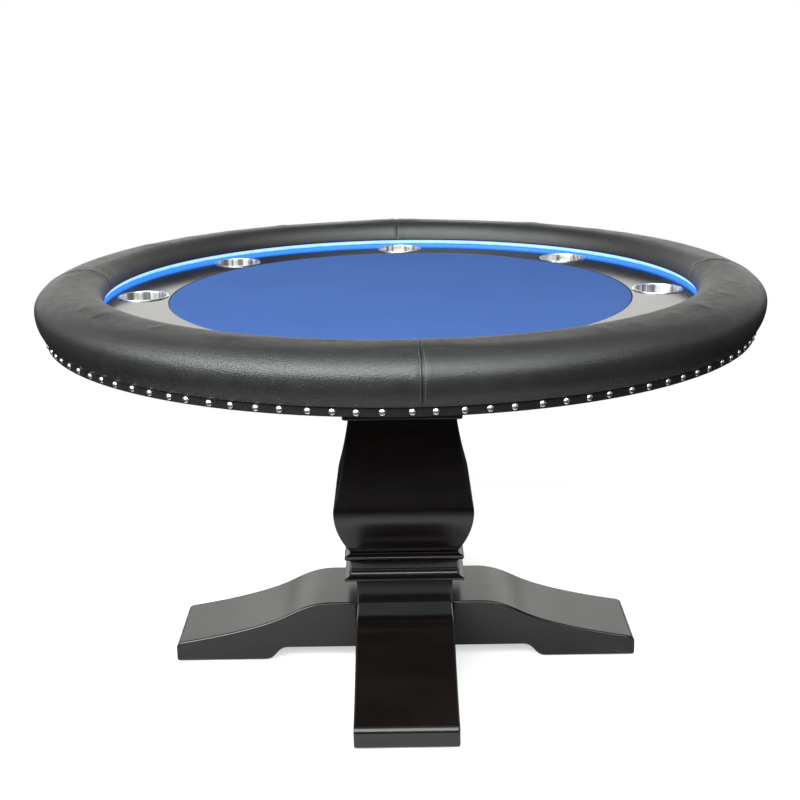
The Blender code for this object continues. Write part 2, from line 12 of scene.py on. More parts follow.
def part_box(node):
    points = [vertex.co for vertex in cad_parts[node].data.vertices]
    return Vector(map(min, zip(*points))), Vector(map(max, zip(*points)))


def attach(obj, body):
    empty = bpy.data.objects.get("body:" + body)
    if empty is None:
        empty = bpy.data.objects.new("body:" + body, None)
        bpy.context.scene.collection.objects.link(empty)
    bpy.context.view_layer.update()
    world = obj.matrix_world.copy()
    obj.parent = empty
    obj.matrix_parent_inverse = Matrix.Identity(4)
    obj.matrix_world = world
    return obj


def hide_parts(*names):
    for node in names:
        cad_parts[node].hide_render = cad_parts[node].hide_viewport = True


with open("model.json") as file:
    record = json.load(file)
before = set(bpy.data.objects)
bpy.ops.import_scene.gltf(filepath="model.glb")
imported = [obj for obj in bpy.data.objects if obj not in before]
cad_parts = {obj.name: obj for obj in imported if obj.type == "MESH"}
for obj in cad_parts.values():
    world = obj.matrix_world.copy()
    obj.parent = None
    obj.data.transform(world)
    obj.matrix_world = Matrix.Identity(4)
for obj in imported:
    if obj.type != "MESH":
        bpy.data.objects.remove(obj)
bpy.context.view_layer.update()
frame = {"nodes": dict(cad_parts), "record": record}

MM = 0.001
TABLE = "table_frame"

# The rail's leather. Seam angles are in degrees from +X; radii are from the table's axis.
SEAM_ANGLES = (3.0, 90.6, 178.5, 272.6)
LIP_RADIUS = 0.5702
CREST_RADIUS = 0.612
HEM_RADIUS = 0.6828
WIDEST_Z = 0.7455
RAIL_SQUARENESS = 2.15
LIP_ROLL = 1.6 * MM
RAIL_STATIONS = 104
RAIL_RINGS = 900
SEAM_RINGS = 57
SEAM_REACH = 14 * MM

# Relief beside a seam: (height, distance from the seam, half-width).
SEAM_CREASE = (-1.7 * MM, 0.0, 0.9 * MM)
STITCH_ROW_OFFSET = 3.6 * MM
STITCH_TRENCH = (-0.45 * MM, STITCH_ROW_OFFSET, 0.8 * MM)
SEAM_PUFF = (0.7 * MM, 9 * MM, 6 * MM)
STITCH_PITCH = 5.0 * MM
STITCH_LENGTH = 3.1 * MM
STITCH_RADIUS = 0.5 * MM
STITCH_MARGIN = 8 * MM

# The cover's cloth simulation.
SIM_RINGS = 480
SIM_STATIONS = 28
SIM_FRAMES = 16
SOFT_HOLD = 0.12
SEAM_HOLD = 0.7
SEAM_HOLD_REACH = 5 * MM
SLACK_SHARE = 0.55
COVER_EASE = 0.012
OFFSET_LIMIT = 1.7 * MM

# Nails, racetrack and cups.
NAIL_COUNT = 104
NAIL_RADIUS = 5.6 * MM
NAIL_HEIGHT = 3.6 * MM

RACETRACK_INNER = 0.4500
CUP_BORE = 0.0468
CUP_WALL_IN = 44.5 * MM
CUP_WALL_OUT = 45.4 * MM
CUP_COUNT = 8

# Pedestal.
TOE_RADIUS = 4.5 * MM
NOSE_RADIUS = 13.5 * MM
FOOT_RIM = 4.0 * MM       # rounding of the feet's long edges
FLAT_MARGIN = 1.0 * MM    # support points that keep a flat face flat beside a rounded edge
COLUMN_END = 0.1060       # half-width at the column's top and bottom
COLUMN_BELLY_Z = 0.332

PLY_WAVES = 2100.0        # radians of the ply pattern per metre of height

# Stage, light and camera.
FLOOR_RADIUS = 1.1
FLOOR_LIFT = 0.56
SWEEP_LEVEL = 0.62
ROOM_LEVEL = 0.012
SOFTBOX_TINT = (0.93, 0.98, 1.0)
WARM_TINT = (1.0, 1.0, 0.96)
CAMERA_PLACE = (0.0, -2.8035, 1.3071)
CAMERA_LENS = 65.475
CAMERA_PITCH_DEG = 15.676
CAMERA_ROLL_DEG = -0.871
CAMERA_YAW_DEG = 0.079


# ---------------------------------------------------------------- outlines


def bezier(start, handle_a, handle_b, end, steps):
    """Points of a cubic curve, the start left out and the end kept."""
    points = []
    for i in range(1, steps + 1):
        t = i / steps
        weights = ((1 - t) ** 3, 3 * t * (1 - t) ** 2, 3 * t * t * (1 - t), t**3)
        corners = (start, handle_a, handle_b, end)
        points.append(tuple(sum(w * c[k] for w, c in zip(weights, corners)) for k in (0, 1)))
    return points


def arc(centre, radii, start_deg, end_deg, steps, power=2.0):
    """Points of an arc, both ends kept; a power above 2 makes it squarer."""
    points = []
    for i in range(steps + 1):
        angle = math.radians(start_deg + (end_deg - start_deg) * i / steps)
        c, s = math.cos(angle), math.sin(angle)
        x = math.copysign(abs(c) ** (2 / power), c)
        y = math.copysign(abs(s) ** (2 / power), s)
        points.append((centre[0] + radii[0] * x, centre[1] + radii[1] * y))
    return points


def evenly(points, count):
    """The same open line with count points at even distances along it."""
    line = np.array(points, float)
    steps = np.hypot(*np.diff(line, axis=0).T)
    along = np.concatenate([[0.0], np.cumsum(steps)])
    wanted = np.linspace(0.0, along[-1], count)
    return np.stack([np.interp(wanted, along, line[:, k]) for k in (0, 1)], axis=1)


def round_corners(points, radius, steps=3):
    """A closed outline with small arcs for corners, and a point that keeps each long side flat."""
    rounded = []
    count = len(points)
    for i in range(count):
        before, here, after = (Vector(points[(i + k) % count]) for k in (-1, 0, 1))
        a, b = before - here, after - here
        turn = a.angle(b)
        if turn > math.radians(150):
            rounded.append(tuple(here))
            continue
        reach = min(radius, a.length * 0.45, b.length * 0.45)
        start, end = here + a.normalized() * reach, here + b.normalized() * reach
        if a.length > 4 * reach:
            rounded.append(tuple(here + a.normalized() * 1.8 * reach))
        for k in range(steps + 1):
            t = k / steps
            point = start * (1 - t) ** 2 + here * 2 * t * (1 - t) + end * t * t
            rounded.append(tuple(point))
        if b.length > 4 * reach:
            rounded.append(tuple(here + b.normalized() * 1.8 * reach))
    return rounded


# ---------------------------------------------------------------- meshes


def finish_piece(name, vertices, faces, material, body, replaces):
    """A smooth-shaded piece that rides a body, stands for CAD nodes and has the material it is
    given.
    """
    mesh = bpy.data.meshes.new(name)
    mesh.from_pydata([tuple(v) for v in vertices], [], faces)
    mesh.validate()
    shape = bmesh.new()
    shape.from_mesh(mesh)
    bmesh.ops.recalc_face_normals(shape, faces=shape.faces)
    shape.to_mesh(mesh)
    shape.free()
    piece = bpy.data.objects.new(name, mesh)
    bpy.context.scene.collection.objects.link(piece)
    mesh.materials.append(material)
    mesh.shade_smooth()
    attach(piece, body)
    if replaces:
        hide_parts(*replaces)
    return piece


def loft_faces(rings, count):
    """Quads between closed rings of count points each, and a cap at either end."""
    faces = []
    for i in range(rings - 1):
        for k in range(count):
            n = (k + 1) % count
            faces.append((i * count + k, i * count + n, (i + 1) * count + n, (i + 1) * count + k))
    faces.append(tuple(reversed(range(count))))
    faces.append(tuple(range((rings - 1) * count, rings * count)))
    return faces


def ring_faces(rings, stations, close_section=True):
    """Quads of a grid of rings by stations; rings always close on themselves."""
    faces = []
    last = stations if close_section else stations - 1
    for i in range(rings):
        a, b = i * stations, (i + 1) % rings * stations
        for k in range(last):
            n = (k + 1) % stations
            faces.append((a + k, b + k, b + n, a + n))
    return faces


def lathe(section, angles, close_section=True):
    """Vertices and faces of a (radius, height) section swept through the given angles."""
    section = np.array(section, float)
    angles = np.array(angles, float)
    radius, height = section[:, 0], section[:, 1]
    x = np.outer(np.cos(angles), radius)
    y = np.outer(np.sin(angles), radius)
    z = np.outer(np.ones_like(angles), height)
    vertices = np.stack([x, y, z], axis=-1).reshape(-1, 3)
    return vertices, ring_faces(len(angles), len(section), close_section)


def even_angles(count):
    return np.linspace(0.0, math.tau, count, endpoint=False)


def solid_lathe(section, angles, centre=(0.0, 0.0)):
    """A turned solid whose open section starts and ends on the axis."""
    section = list(section)
    inside = [p for p in section if p[0] > 1e-7]
    vertices, faces = lathe(inside, angles, close_section=False)
    vertices = vertices + np.array([centre[0], centre[1], 0.0])
    count, stations = len(angles), len(inside)
    vertices = np.vstack(
        [vertices, [(*centre, section[0][1])], [(*centre, section[-1][1])]]
    )
    top, bottom = count * stations, count * stations + 1
    for i in range(count):
        a, b = i * stations, (i + 1) % count * stations
        faces.append((top, b, a))
        faces.append((bottom, a + stations - 1, b + stations - 1))
    return vertices, faces


def node_span(node):
    """(lowest z, highest z, half-width in x) of a CAD node at rest."""
    low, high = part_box(node)
    return low.z, high.z, high.x


# ---------------------------------------------------------------- material nodes


def new_material(name):
    material = bpy.data.materials.new(name)
    material.use_nodes = True
    nodes, links = material.node_tree.nodes, material.node_tree.links
    shader = nodes["Principled BSDF"]
    place = nodes.new("ShaderNodeTexCoord").outputs["Object"]
    return material, nodes, links, shader, place


def noise(nodes, links, vector, scale, detail=4.0, roughness=0.55):
    node = nodes.new("ShaderNodeTexNoise")
    node.inputs["Scale"].default_value = scale
    node.inputs["Detail"].default_value = detail
    node.inputs["Roughness"].default_value = roughness
    links.new(vector, node.inputs["Vector"])
    return node.outputs["Fac"]


def voronoi(nodes, links, vector, scale):
    node = nodes.new("ShaderNodeTexVoronoi")
    node.inputs["Scale"].default_value = scale
    links.new(vector, node.inputs["Vector"])
    return node.outputs["Distance"]


def ramp(nodes, links, factor, stops):
    """A colour ramp between two stops, each (position, (r, g, b))."""
    node = nodes.new("ShaderNodeValToRGB")
    elements = node.color_ramp.elements
    for element, (position, colour) in zip(elements, stops):
        element.position = position
        element.color = (*colour, 1.0)
    links.new(factor, node.inputs["Fac"])
    return node.outputs["Color"]


def tones(colour, share):
    """Stops for a ramp between a darker and a lighter tone of one colour."""
    dark, light = (tuple(c * (1 + sign * share) for c in colour) for sign in (-1, 1))
    return [(0.3, dark), (0.7, light)]


def blend(nodes, links, factor, a, b):
    """One colour mixed into another; a and b are sockets or (r, g, b)."""
    node = nodes.new("ShaderNodeMix")
    node.data_type = "RGBA"
    links.new(factor, node.inputs["Factor"])
    for name, value in (("A", a), ("B", b)):
        if isinstance(value, tuple):
            node.inputs[name].default_value = (*value, 1.0)
        else:
            links.new(value, node.inputs[name])
    return node.outputs["Result"]


def levelness(nodes, links):
    """1 on level faces and 0 on upright ones."""
    normal = nodes.new("ShaderNodeSeparateXYZ")
    links.new(nodes.new("ShaderNodeNewGeometry").outputs["Normal"], normal.inputs["Vector"])
    return maths(nodes, links, "ABSOLUTE", normal.outputs["Z"])


def spread(nodes, links, factor, low, high, from_low=0.3, from_high=0.7):
    """A value moved linearly from one range to another, and held to it."""
    node = nodes.new("ShaderNodeMapRange")
    node.inputs["From Min"].default_value = from_low
    node.inputs["From Max"].default_value = from_high
    node.inputs["To Min"].default_value = low
    node.inputs["To Max"].default_value = high
    links.new(factor, node.inputs["Value"])
    return node.outputs["Result"]


def bump(nodes, links, height, distance, strength=1.0, under=None):
    node = nodes.new("ShaderNodeBump")
    node.inputs["Strength"].default_value = strength
    node.inputs["Distance"].default_value = distance
    links.new(height, node.inputs["Height"])
    if under:
        links.new(under, node.inputs["Normal"])
    return node.outputs["Normal"]


def stretch(nodes, links, vector, scale):
    node = nodes.new("ShaderNodeMapping")
    node.inputs["Scale"].default_value = scale
    links.new(vector, node.inputs["Vector"])
    return node.outputs["Vector"]


def maths(nodes, links, operation, a, b=None):
    node = nodes.new("ShaderNodeMath")
    node.operation = operation
    for socket, value in zip(node.inputs, (a, b)):
        if value is None:
            continue
        if isinstance(value, (int, float)):
            socket.default_value = value
        else:
            links.new(value, socket)
    return node.outputs["Value"]


def worn_edges(nodes, links):
    """1 on sharp outer edges and 0 elsewhere, from the mesh's own curvature."""
    geometry = nodes.new("ShaderNodeNewGeometry")
    return spread(nodes, links, geometry.outputs["Pointiness"], 0.0, 1.0, 0.53, 0.62)


def leather_material(name, colour, grain_scale, roughness, gloss):
    """Pebbled leatherette: a cell grain over finer pores, with handling marks."""
    material, nodes, links, shader, place = new_material(name)
    blotch = noise(nodes, links, place, 9.0, 3.0)
    links.new(ramp(nodes, links, blotch, tones(colour, 0.18)), shader.inputs["Base Color"])
    cells = voronoi(nodes, links, place, grain_scale)
    warped = noise(nodes, links, place, grain_scale * 0.45, 5.0)
    pores = noise(nodes, links, place, grain_scale * 2.4, 2.0)
    scuffs = noise(nodes, links, stretch(nodes, links, place, (40, 40, 14)), 1.0, 6.0, 0.7)
    links.new(
        spread(nodes, links, scuffs, roughness - 0.05, roughness + 0.07), shader.inputs["Roughness"]
    )
    shader.inputs["Specular IOR Level"].default_value = gloss
    normal = bump(nodes, links, cells, 0.55 * MM, 1.0)
    normal = bump(nodes, links, warped, 0.20 * MM, 1.0, normal)
    normal = bump(nodes, links, pores, 0.05 * MM, 0.8, normal)
    links.new(normal, shader.inputs["Normal"])
    return material


def lacquer_material(name, haze, ior):
    """Black sprayed lacquer: orange peel, faint grain, smears and softened edges."""
    material, nodes, links, shader, place = new_material(name)
    depth = noise(nodes, links, stretch(nodes, links, place, (1, 1, 9)), 7.0, 5.0)
    stops = [(0.3, (0.0022, 0.0016, 0.0014)), (0.75, (0.0046, 0.0034, 0.0030))]
    base = ramp(nodes, links, depth, stops)
    worn = blend(nodes, links, worn_edges(nodes, links), base, (0.012, 0.011, 0.010))
    links.new(worn, shader.inputs["Base Color"])
    smears = noise(nodes, links, place, 5.0, 6.0, 0.65)
    links.new(spread(nodes, links, smears, haze, haze + 0.06), shader.inputs["Roughness"])
    shader.inputs["IOR"].default_value = ior
    peel = noise(nodes, links, place, 420.0, 3.0, 0.7)
    swell = noise(nodes, links, place, 16.0, 2.0)
    normal = bump(nodes, links, peel, 0.020 * MM, 0.8)
    normal = bump(nodes, links, swell, 0.25 * MM, 0.35, normal)
    links.new(normal, shader.inputs["Normal"])
    return material


def cloth_material(name):
    """Speed cloth: a fine diagonal weave under short loose fibres, with no shine."""
    material, nodes, links, shader, place = new_material(name)
    blotch = noise(nodes, links, place, 6.0, 4.0)
    fibre = noise(nodes, links, place, 900.0, 3.0, 0.7)
    parts = [maths(nodes, links, "MULTIPLY", *p) for p in ((blotch, 0.35), (fibre, 0.65))]
    tone = maths(nodes, links, "ADD", *parts)
    colour = ramp(
        nodes, links, tone, [(0.32, (0.0226, 0.0455, 0.126)), (0.68, (0.0277, 0.0552, 0.149))]
    )
    links.new(colour, shader.inputs["Base Color"])
    shader.inputs["Roughness"].default_value = 0.95
    shader.inputs["Specular IOR Level"].default_value = 0.0
    yarns = []
    for vector in (place, stretch(nodes, links, place, (1, -1, 1))):
        yarn = nodes.new("ShaderNodeTexWave")
        yarn.inputs["Scale"].default_value = 160.0
        yarn.inputs["Distortion"].default_value = 0.4
        yarn.bands_direction = "DIAGONAL"
        links.new(vector, yarn.inputs["Vector"])
        yarns.append(yarn.outputs["Fac"])
    both = maths(nodes, links, "MULTIPLY", *yarns)
    normal = bump(nodes, links, both, 0.12 * MM, 0.5)
    normal = bump(nodes, links, fibre, 0.15 * MM, 0.5, normal)
    links.new(normal, shader.inputs["Normal"])
    return material


def steel_material(name, colour, roughness, streak_scale, streaks):
    """Bare metal with drawn lines along streak_scale and a little colour change."""
    material, nodes, links, shader, place = new_material(name)
    shader.inputs["Metallic"].default_value = 1.0
    lines = noise(nodes, links, stretch(nodes, links, place, streak_scale), 1.0, 4.0, 0.6)
    dark, light = tuple(c * 0.86 for c in colour), tuple(min(c * 1.1, 1) for c in colour)
    tint = ramp(nodes, links, lines, [(0.3, dark), (0.7, light)])
    links.new(tint, shader.inputs["Base Color"])
    links.new(spread(nodes, links, lines, roughness, roughness + 0.10), shader.inputs["Roughness"])
    normal = bump(nodes, links, lines, streaks, 0.6)
    links.new(normal, shader.inputs["Normal"])
    return material


def spun_steel_painted_stripes_material(name, colour):
    """Spun steel: fine turned rings that spread the light, and painted upright reflections: its
    colour is darkened in broad upright stripes and kept full on level faces.
    """
    material, nodes, links, shader, place = new_material(name)
    shader.inputs["Metallic"].default_value = 1.0
    # painted reflection: upright dark and light stripes in the steel's colour stand in for the
    # surroundings it reflects
    painted_reflection_stripes = noise(nodes, links, stretch(nodes, links, place, (85, 85, 2)), 1.0, 3.0, 0.6)
    painted_reflection_stripes = maths(nodes, links, "MAXIMUM", painted_reflection_stripes, levelness(nodes, links))
    dark = tuple(c * 0.22 for c in colour)
    tint = ramp(nodes, links, painted_reflection_stripes, [(0.40, dark), (0.50, colour)])
    links.new(tint, shader.inputs["Base Color"])
    rings = noise(nodes, links, stretch(nodes, links, place, (6, 6, 1900)), 1.0, 3.0, 0.6)
    links.new(spread(nodes, links, painted_reflection_stripes, 0.34, 0.26), shader.inputs["Roughness"])
    links.new(bump(nodes, links, rings, 0.35 * MM, 0.9), shader.inputs["Normal"])
    return material


def plastic_material(name, colour, roughness=0.5):
    """Moulded plastic or rubber with a fine pebble and cloudy handling marks."""
    material, nodes, links, shader, place = new_material(name)
    speck = noise(nodes, links, place, 700.0, 3.0)
    cloud = noise(nodes, links, place, 20.0, 3.0)
    links.new(ramp(nodes, links, cloud, tones(colour, 0.15)), shader.inputs["Base Color"])
    rough = spread(nodes, links, cloud, roughness - 0.06, roughness + 0.08)
    links.new(rough, shader.inputs["Roughness"])
    links.new(bump(nodes, links, speck, 0.06 * MM, 0.7), shader.inputs["Normal"])
    return material


def plywood_material(name):
    """Pale birch faces with long grain, and darker plies that show on sawn edges."""
    material, nodes, links, shader, place = new_material(name)
    grain = noise(nodes, links, stretch(nodes, links, place, (3, 60, 60)), 1.0, 6.0, 0.6)
    face = ramp(nodes, links, grain, [(0.3, (0.42, 0.29, 0.165)), (0.7, (0.60, 0.44, 0.27))])
    separate = nodes.new("ShaderNodeSeparateXYZ")
    links.new(place, separate.inputs["Vector"])
    layers = maths(nodes, links, "MULTIPLY", separate.outputs["Z"], PLY_WAVES)
    plies = spread(nodes, links, maths(nodes, links, "SINE", layers), 0.0, 1.0, -1.0, 1.0)
    edge = ramp(nodes, links, plies, [(0.35, (0.30, 0.19, 0.10)), (0.65, (0.58, 0.42, 0.25))])
    wood = blend(nodes, links, levelness(nodes, links), edge, face)
    links.new(wood, shader.inputs["Base Color"])
    links.new(spread(nodes, links, grain, 0.60, 0.78), shader.inputs["Roughness"])
    links.new(bump(nodes, links, grain, 0.15 * MM, 0.6), shader.inputs["Normal"])
    return material


def foam_material(name):
    """Open-cell foam, with painted shade in the pit of each cell."""
    material, nodes, links, shader, place = new_material(name)
    cells = voronoi(nodes, links, place, 520.0)
    # painted shade: the colour darkens towards each cell's pit, where the bump below sinks deepest
    tint = ramp(nodes, links, cells, [(0.1, (0.34, 0.32, 0.28)), (0.6, (0.66, 0.64, 0.58))])
    links.new(tint, shader.inputs["Base Color"])
    shader.inputs["Roughness"].default_value = 0.95
    links.new(bump(nodes, links, cells, 0.8 * MM, 0.8), shader.inputs["Normal"])
    return material


def glow_material(name, deep, pale, strength, cast, cast_strength):
    """Frosted strip lit from behind, paler towards the lamps along its top.

    Seen directly it is over-exposed and pale. What it casts on other things keeps its full blue.
    """
    material, nodes, links, shader, place = new_material(name)
    shader.inputs["Base Color"].default_value = (0.05, 0.09, 0.13, 1.0)
    shader.inputs["Roughness"].default_value = 0.45
    frost = noise(nodes, links, place, 420.0, 2.0)
    cloud = noise(nodes, links, place, 60.0, 3.0)
    separate = nodes.new("ShaderNodeSeparateXYZ")
    links.new(place, separate.inputs["Vector"])
    low, high, _ = node_span("led_diffuser")
    rise = spread(nodes, links, separate.outputs["Z"], 0.0, 1.0, low, high)
    rise = maths(nodes, links, "ADD", rise, spread(nodes, links, cloud, -0.12, 0.12))
    tint = ramp(nodes, links, rise, [(0.0, deep), (0.40, pale)])
    direct = nodes.new("ShaderNodeLightPath").outputs["Is Camera Ray"]
    links.new(blend(nodes, links, direct, cast, tint), shader.inputs["Emission Color"])
    level = spread(nodes, links, direct, cast_strength, strength, 0.0, 1.0)
    links.new(level, shader.inputs["Emission Strength"])
    links.new(bump(nodes, links, frost, 0.05 * MM, 0.6), shader.inputs["Normal"])
    return material


LEATHER = leather_material("rail_leather", (0.0082, 0.0081, 0.0075), 620.0, 0.395, 0.5)
VINYL = leather_material("band_vinyl", (0.0040, 0.0038, 0.0036), 1100.0, 0.62, 0.15)
THREAD = plastic_material("stitch_thread", (0.060, 0.060, 0.062), 0.60)
TRACK_LACQUER = lacquer_material("racetrack_lacquer", 0.10, 1.46)
WOOD_LACQUER = lacquer_material("pedestal_lacquer", 0.18, 1.44)
CLOTH = cloth_material("playing_cloth_blue")
CUP_STEEL = spun_steel_painted_stripes_material("cup_steel", (0.93, 0.92, 0.90))
NAIL_STEEL = steel_material("nail_nickel", (0.90, 0.88, 0.85), 0.28, (150, 150, 150), 0.02 * MM)
ZINC = steel_material("zinc_steel", (0.55, 0.55, 0.57), 0.32, (180, 180, 30), 0.06 * MM)
PLYWOOD = plywood_material("plywood")
FOAM = foam_material("upholstery_foam")
BLACK_PLASTIC = plastic_material("black_plastic", (0.018, 0.018, 0.019))
NYLON = plastic_material("glide_nylon", (0.035, 0.035, 0.036), 0.6)
LEAD_RUBBER = plastic_material("lead_rubber", (0.02, 0.02, 0.02), 0.7)
STRIP_WHITE = plastic_material("light_strip", (0.70, 0.70, 0.68), 0.45)
GLOW = glow_material(
    "light_diffuser", (0.03, 0.30, 1.0), (0.30, 0.49, 1.0), 1.7, (0.03, 0.25, 1.0), 3.2
)

NODE_MATERIALS = {
    "rail_foam": FOAM,
    "playing_foam": FOAM,
    "rail_leather": LEATHER,
    "band_vinyl": VINYL,
    "black_lacquer": WOOD_LACQUER,
    "blue_cloth": CLOTH,
    "plywood": PLYWOOD,
    "light_diffuser": GLOW,
    "light_strip": STRIP_WHITE,
    "cup_steel": CUP_STEEL,
    "zinc_steel": ZINC,
    "black_plastic": BLACK_PLASTIC,
    "lead_rubber": LEAD_RUBBER,
    "glide_plastic": NYLON,
}


def dress_nodes():
    """Each CAD node that stays on show gets the material of its slot."""
    for row in frame["record"]["subparts"]:
        node = frame["nodes"][row["node"]]
        node.data.materials.clear()
        node.data.materials.append(NODE_MATERIALS[row["material_slot"]])


# ---------------------------------------------------------------- table top


def seam_distance(angle):
    """Distance along the rail's crest from the nearest seam."""
    gaps = [(angle - math.radians(seam) + math.pi) % math.tau - math.pi for seam in SEAM_ANGLES]
    return min(abs(gap) for gap in gaps) * CREST_RADIUS


def rail_angles(count, near_count):
    """Even angles, with finer ones close to each seam."""
    angles = set(np.round(even_angles(count), 6))
    reach = SEAM_REACH / CREST_RADIUS
    for seam in SEAM_ANGLES:
        centre = math.radians(seam)
        for offset in np.linspace(-reach, reach, near_count):
            angles.add(round((centre + offset) % math.tau, 6))
    return np.array(sorted(angles))


def rail_section():
    """The cover's outside, from the lip over the crest and the nose to the hem."""
    low, high, radius = node_span("rail_cover")
    lip_z = node_span("led_diffuser")[1] + 0.4 * MM
    edge_z = lip_z - LIP_ROLL
    hem = (HEM_RADIUS, low + 0.2 * MM)
    inner_size = (CREST_RADIUS - LIP_RADIUS, high - edge_z)
    outer_size = (radius - CREST_RADIUS, high - WIDEST_Z)
    inner = arc((CREST_RADIUS, edge_z), inner_size, 180, 90, 24, RAIL_SQUARENESS)
    outer = arc((CREST_RADIUS, WIDEST_Z), outer_size, 90, 0, 24, RAIL_SQUARENESS)
    side = bezier(
        (radius, WIDEST_Z), (radius, WIDEST_Z - 0.022), (hem[0] + 0.007, hem[1] + 0.012), hem, 18
    )
    tuck_under_lip = [(LIP_RADIUS + 5 * MM, lip_z), (LIP_RADIUS + 1.6 * MM, edge_z - 0.3 * MM)]
    tuck_under_hem = [(hem[0] - 1.0 * MM, hem[1] - 0.1 * MM), (hem[0] - 4 * MM, hem[1] - 0.1 * MM)]
    return tuck_under_lip + inner + outer[1:] + side + tuck_under_hem


def outward(angles, out_r, out_z):
    """The outward direction at every angle and station, from that of the section."""
    across = [np.outer(part(angles), out_r) for part in (np.cos, np.sin)]
    return np.stack([*across, np.outer(np.ones_like(angles), out_z)], axis=-1)


def seam_relief(distance):
    """Height of the crease, the stitch trench and the puffed leather beside a seam."""
    return sum(
        height * math.exp(-(((distance - middle) / width) ** 2))
        for height, middle, width in (SEAM_CREASE, STITCH_TRENCH, SEAM_PUFF)
    )


def make_rail():
    """The sewn leather cover, with its four seams and the unevenness of a pulled cover."""
    section = evenly(rail_section(), RAIL_STATIONS)
    angles = rail_angles(RAIL_RINGS, SEAM_RINGS)
    vertices, faces = lathe(section, angles, close_section=False)
    tangent = np.gradient(section, axis=0)
    tangent /= np.hypot(*tangent.T)[:, None]
    out_r, out_z = -tangent[:, 1], tangent[:, 0]
    along = np.linspace(0.0, 1.0, RAIL_STATIONS)
    hold = np.clip(np.minimum(along - 0.03, 0.97 - along) / 0.05, 0.0, 1.0)

    relief = [seam_relief(seam_distance(angle)) for angle in angles]
    offset = np.outer(relief, hold) + settled_cover(section, out_r, out_z, angles) * hold
    moved = vertices + (outward(angles, out_r, out_z) * offset[..., None]).reshape(-1, 3)
    piece = finish_piece(
        "rail_leather", moved, faces, LEATHER, TABLE, ["rail_cover"]
    )
    make_stitching(section, out_r, out_z)


def settled_cover(section, out_r, out_z, angles):
    """How far the leather stands off its even shape once it has been pulled over the foam.

    A coarse ring of cloth, a little too long round its inner edge, is held at lip, hem and
    seams and left to settle; the offsets are then read onto the fine grid.
    """
    rows = np.linspace(0, len(section) - 1, SIM_STATIONS).round().astype(int)
    coarse = even_angles(SIM_RINGS)
    vertices, faces = lathe(section[rows], coarse, close_section=False)
    mesh = bpy.data.meshes.new("cover_sim")
    mesh.from_pydata([tuple(v) for v in vertices], [], faces)
    cover = bpy.data.objects.new("cover_sim", mesh)
    bpy.context.scene.collection.objects.link(cover)
    held = cover.vertex_groups.new(name="held")
    loose = cover.vertex_groups.new(name="loose")
    for i, angle in enumerate(coarse):
        to_seam = seam_distance(angle)
        for k in range(SIM_STATIONS):
            edge = min(k, SIM_STATIONS - 1 - k)
            firm = 1.0 if edge <= 2 else SOFT_HOLD
            if to_seam < SEAM_HOLD_REACH:
                firm = max(firm, SEAM_HOLD)
            held.add([i * SIM_STATIONS + k], firm, "REPLACE")
            slack = max(0.0, 1.0 - k / (SLACK_SHARE * SIM_STATIONS))
            loose.add([i * SIM_STATIONS + k], slack, "REPLACE")
    cloth = cover.modifiers.new("cloth", "CLOTH")
    settings = cloth.settings
    settings.quality = 6
    settings.mass = 0.35
    settings.tension_stiffness = 60
    settings.compression_stiffness = 60
    settings.shear_stiffness = 20
    settings.bending_stiffness = 1.2
    settings.vertex_group_mass = "held"
    settings.pin_stiffness = 1.0
    settings.vertex_group_shrink = "loose"
    settings.shrink_min = 0.0
    settings.shrink_max = -COVER_EASE
    settings.use_pressure = True
    settings.uniform_pressure_force = 1.2
    settings.effector_weights.gravity = 0.0
    cloth.collision_settings.use_self_collision = False
    scene = bpy.context.scene
    scene.frame_start, scene.frame_end = 1, SIM_FRAMES
    cloth.point_cache.frame_start, cloth.point_cache.frame_end = 1, SIM_FRAMES
    for frame_number in range(1, SIM_FRAMES + 1):
        scene.frame_set(frame_number)
    evaluated = cover.evaluated_get(bpy.context.evaluated_depsgraph_get())
    settled = np.empty(len(vertices) * 3)
    evaluated.data.vertices.foreach_get("co", settled)
    moved = (settled.reshape(-1, 3) - vertices).reshape(SIM_RINGS, SIM_STATIONS, 3)
    scene.frame_set(1)
    bpy.data.objects.remove(cover, do_unlink=True)

    height = (moved * outward(coarse, out_r[rows], out_z[rows])).sum(axis=-1)
    height -= height.mean(axis=0)
    height = np.clip(height, -OFFSET_LIMIT, OFFSET_LIMIT)
    wrapped = np.vstack([height, height[:1]])
    turns = np.append(coarse, math.tau)
    by_angle = np.stack([np.interp(angles, turns, column) for column in wrapped.T], axis=1)
    stations = np.arange(len(section))
    return np.stack([np.interp(stations, rows, line) for line in by_angle])


def make_stitching(section, out_r, out_z):
    """Short threads in two rows beside each seam."""
    lengths = np.hypot(*np.diff(section, axis=0).T)
    run = np.concatenate([[0.0], np.cumsum(lengths)])
    count = int((run[-1] - 2 * STITCH_MARGIN) / STITCH_PITCH)
    vertices, faces = [], []
    for seam in SEAM_ANGLES:
        for side in (-1, 1):
            for k in range(count):
                start = STITCH_MARGIN + k * STITCH_PITCH
                angle = math.radians(seam) + side * STITCH_ROW_OFFSET / CREST_RADIUS
                add_thread(vertices, faces, section, run, start, angle, out_r, out_z)
    finish_piece("rail_stitching", vertices, faces, THREAD, TABLE, ())


